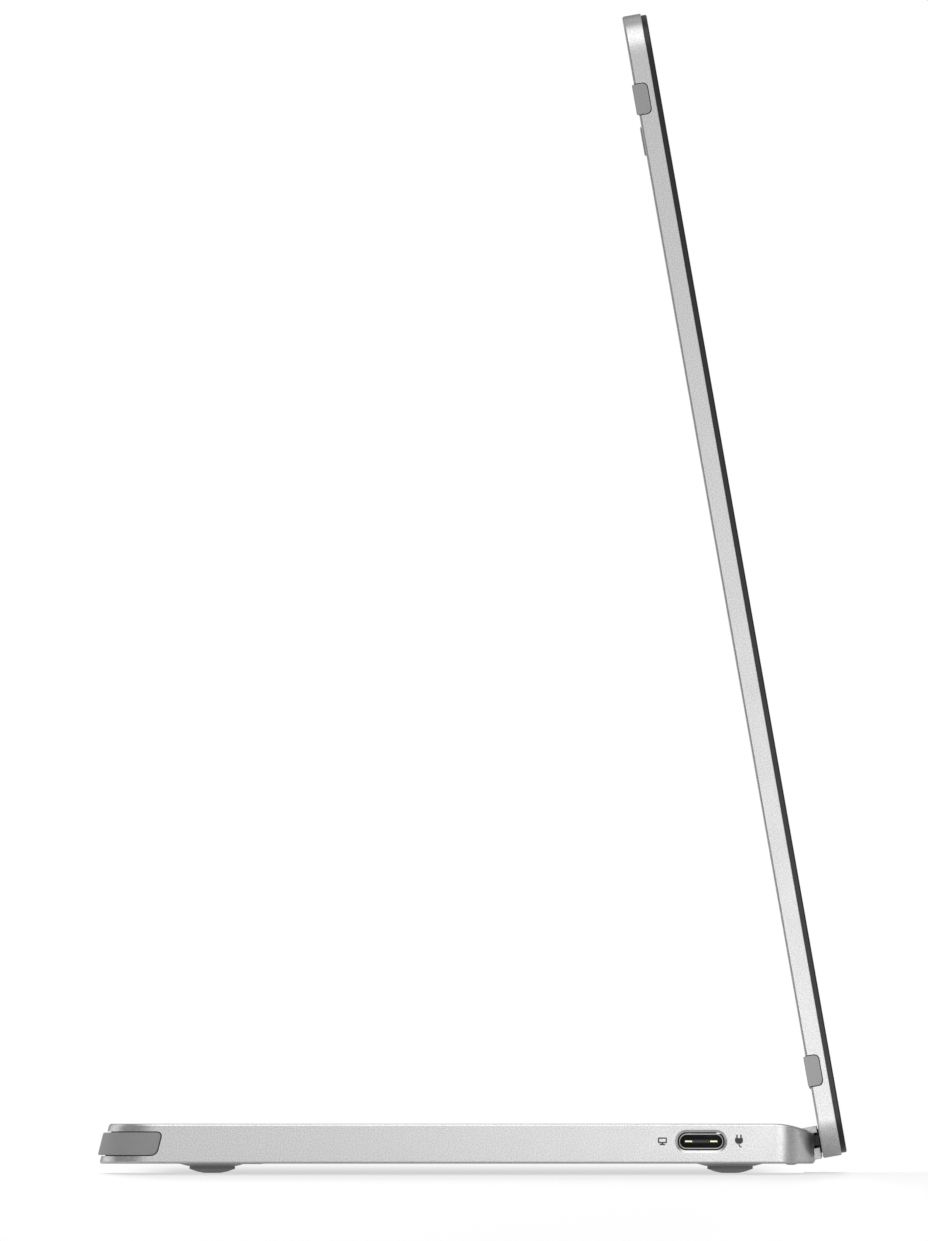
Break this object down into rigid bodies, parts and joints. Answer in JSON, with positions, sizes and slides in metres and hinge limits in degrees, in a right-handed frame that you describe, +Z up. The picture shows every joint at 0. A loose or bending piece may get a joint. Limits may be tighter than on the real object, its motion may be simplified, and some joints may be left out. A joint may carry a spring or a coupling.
{
  "type": "portable monitor",
  "caption": "Thin portable monitor: flat display on a friction hinge at the front of a flat fold-out base with side sockets, buttons, rubber feet and edge pads.",
  "frame": {"origin": "under the middle of the whole monitor, on the surface that its feet stand on", "axes": "+X to the user's right, +Y away from the user along the base, +Z up; the screen faces -Y"},
  "size_m": [0.357, 0.1492, 0.231],
  "materials": {
    "anodised_aluminium": "bead-blasted, silver anodised, cut edges polished",
    "painted_steel": "silver paint, satin",
    "grey_rubber": "matt mid-grey moulded rubber",
    "dark_rubber": "satin dark grey moulded rubber",
    "hinge_steel": "dark grey, blackened",
    "screw_steel": "zinc plated",
    "sheet_steel": "tin plated sheet",
    "socket_steel": "drawn stainless steel",
    "tongue_plastic": "black, with pale gold contacts",
    "circuit_board": "green solder mask",
    "chip_plastic": "black moulded epoxy",
    "connector_plastic": "ivory moulded nylon",
    "flex_film": "amber polyimide film",
    "lead_jacket": "black PVC",
    "clear_acrylic": "clear acrylic",
    "black_plastic": "black, fine moulded texture",
    "screen_glass": "low-glare glass over a dark panel, black printed border",
    "panel_glass": "dark polariser",
    "white_film": "white diffusing film",
    "led_yellow": "row of phosphor-capped lights"
  },
  "bodies": {
    "base": {"base_shell": "anodised_aluminium", "bottom_plate": "painted_steel", "rubber_feet": "dark_rubber", "plate_screws": "screw_steel", "domed_screws": "screw_steel", "rear_rubber_strip": "grey_rubber", "hinge_bracket_left": "hinge_steel", "hinge_bracket_right": "hinge_steel", "bracket_screws": "screw_steel", "main_board": "circuit_board", "board_chips": "chip_plastic", "shield_can": "sheet_steel", "lead_connector": "connector_plastic", "ribbon_connectors": "connector_plastic", "port_board": "circuit_board", "board_screws": "screw_steel", "board_ribbon": "flex_film", "base_lead": "lead_jacket", "tact_switches": "chip_plastic", "power_light_pipe": "clear_acrylic", "usb_c_socket_left": "socket_steel", "usb_c_socket_right": "socket_steel", "usb_c_tongue_left": "tongue_plastic", "usb_c_tongue_right": "tongue_plastic"},
    "display": {"display_back_cover": "anodised_aluminium", "front_bezel": "black_plastic", "cover_glass": "screen_glass", "lcd_panel": "panel_glass", "optical_sheets": "white_film", "light_guide": "clear_acrylic", "reflector_sheet": "white_film", "led_strip": "led_yellow", "panel_tray": "sheet_steel", "panel_tapes": "white_film", "driver_board": "circuit_board", "driver_chips": "chip_plastic", "panel_flexes": "flex_film", "display_lead": "lead_jacket", "edge_pads_upper": "grey_rubber", "edge_pads_lower": "grey_rubber", "hinge_cover": "anodised_aluminium", "hinge_cover_screws": "screw_steel", "hinge_arm_left": "hinge_steel", "hinge_arm_right": "hinge_steel", "arm_screws": "screw_steel", "hinge_shaft_left": "hinge_steel", "hinge_shaft_right": "hinge_steel", "friction_washers": "hinge_steel", "hinge_nuts": "hinge_steel"},
    "power_button": {"power_button": "anodised_aluminium"},
    "dimmer_button": {"dimmer_button": "anodised_aluminium"},
    "brighter_button": {"brighter_button": "anodised_aluminium"}
  },
  "joints": [
    {"name": "display_tilt", "type": "hinge", "parent": "base", "child": "display", "pos_m": [0, -0.06481, 0.00583], "axis": [-1, 0, 0], "range_deg": [-10, 80]},
    {"name": "power_press", "type": "slide", "parent": "base", "child": "power_button", "axis": [-1, 0, 0], "range_m": [0, 0.0004], "stiffness_N_per_m": 1000, "springref_m": -0.0003},
    {"name": "dimmer_press", "type": "slide", "parent": "base", "child": "dimmer_button", "axis": [-1, 0, 0], "range_m": [0, 0.0004], "stiffness_N_per_m": 1000, "springref_m": -0.0003},
    {"name": "brighter_press", "type": "slide", "parent": "base", "child": "brighter_button", "axis": [-1, 0, 0], "range_m": [0, 0.0004], "stiffness_N_per_m": 1000, "springref_m": -0.0003}
  ]
}
